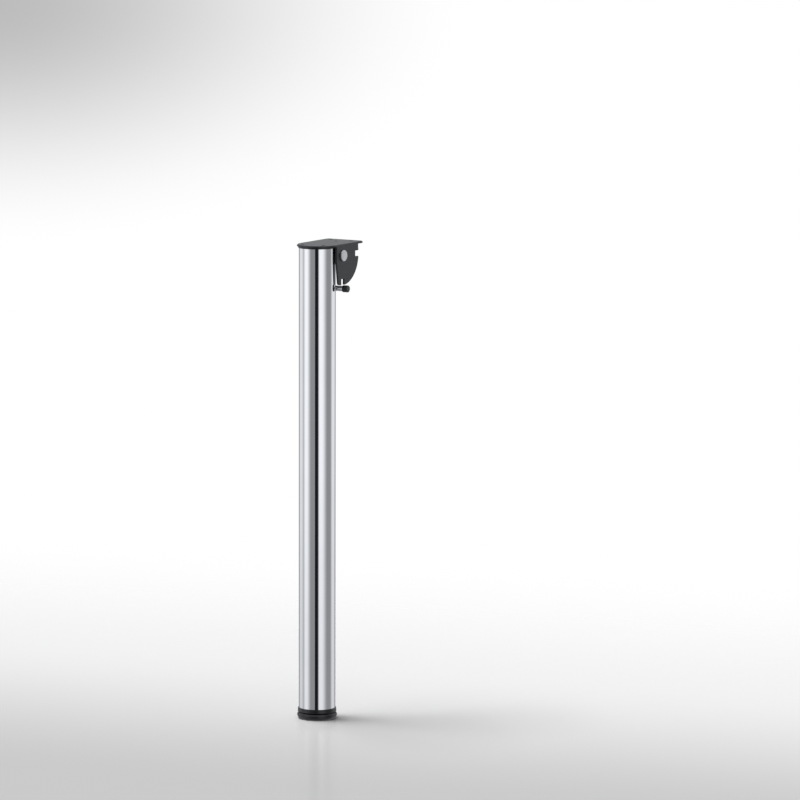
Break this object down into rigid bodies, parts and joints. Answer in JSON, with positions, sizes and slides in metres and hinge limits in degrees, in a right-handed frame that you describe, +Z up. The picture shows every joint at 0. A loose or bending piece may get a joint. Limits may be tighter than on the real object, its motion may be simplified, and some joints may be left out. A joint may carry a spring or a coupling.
{
  "type": "folding table leg",
  "caption": "Folding table leg: a round chrome tube on a hinge head with a sprung lock bar, in a folded steel bracket, with a foot that screws up and down.",
  "frame": {"origin": "on the leg's axis, in the top face of the mounting plate, where it meets the table's underside", "axes": "+Z up, out of the plate towards the table; +X the side that the leg folds towards; the hinge's axis lies along Y"},
  "size_m": [0.1098, 0.0832, 0.71],
  "materials": {
    "chrome": "polished",
    "black_steel": "satin",
    "black_casting": "satin",
    "zinc_steel": "satin",
    "spring_steel": "satin",
    "black_plastic": "satin",
    "bush_plastic": "matte",
    "rubber": "matte"
  },
  "bodies": {
    "bracket": {"mounting_bracket": "black_steel", "pivot_pin": "zinc_steel", "pivot_clip": "zinc_steel", "fold_buffer": "rubber"},
    "leg": {"hinge_head": "black_casting", "hinge_bush_left": "bush_plastic", "hinge_bush_right": "bush_plastic", "leg_tube": "chrome", "head_screws": "zinc_steel", "lock_spring_left": "spring_steel", "lock_spring_right": "spring_steel", "spring_retainer": "zinc_steel", "retainer_screws": "zinc_steel", "foot_plug": "black_plastic", "foot_nut": "zinc_steel"},
    "lock": {"lock_bar": "zinc_steel", "lock_knob_left": "black_plastic", "lock_knob_right": "black_plastic"},
    "foot": {"foot_spindle": "zinc_steel", "foot_disc": "black_plastic"}
  },
  "joints": [
    {"name": "leg_fold", "type": "hinge", "parent": "bracket", "child": "leg", "pos_m": [0.02, 0, -0.017], "axis": [0, -1, 0], "range_deg": [0, 90]},
    {"name": "lock_slide", "type": "slide", "parent": "leg", "child": "lock", "axis": [0, 0, 1], "range_m": [0, 0.009], "stiffness_N_per_m": 1000, "springref_m": 0.019, "deforming": ["lock_spring_left", "lock_spring_right"]},
    {"name": "foot_height", "type": "slide", "parent": "leg", "child": "foot", "axis": [0, 0, -1], "range_m": [0, 0.02]}
  ]
}
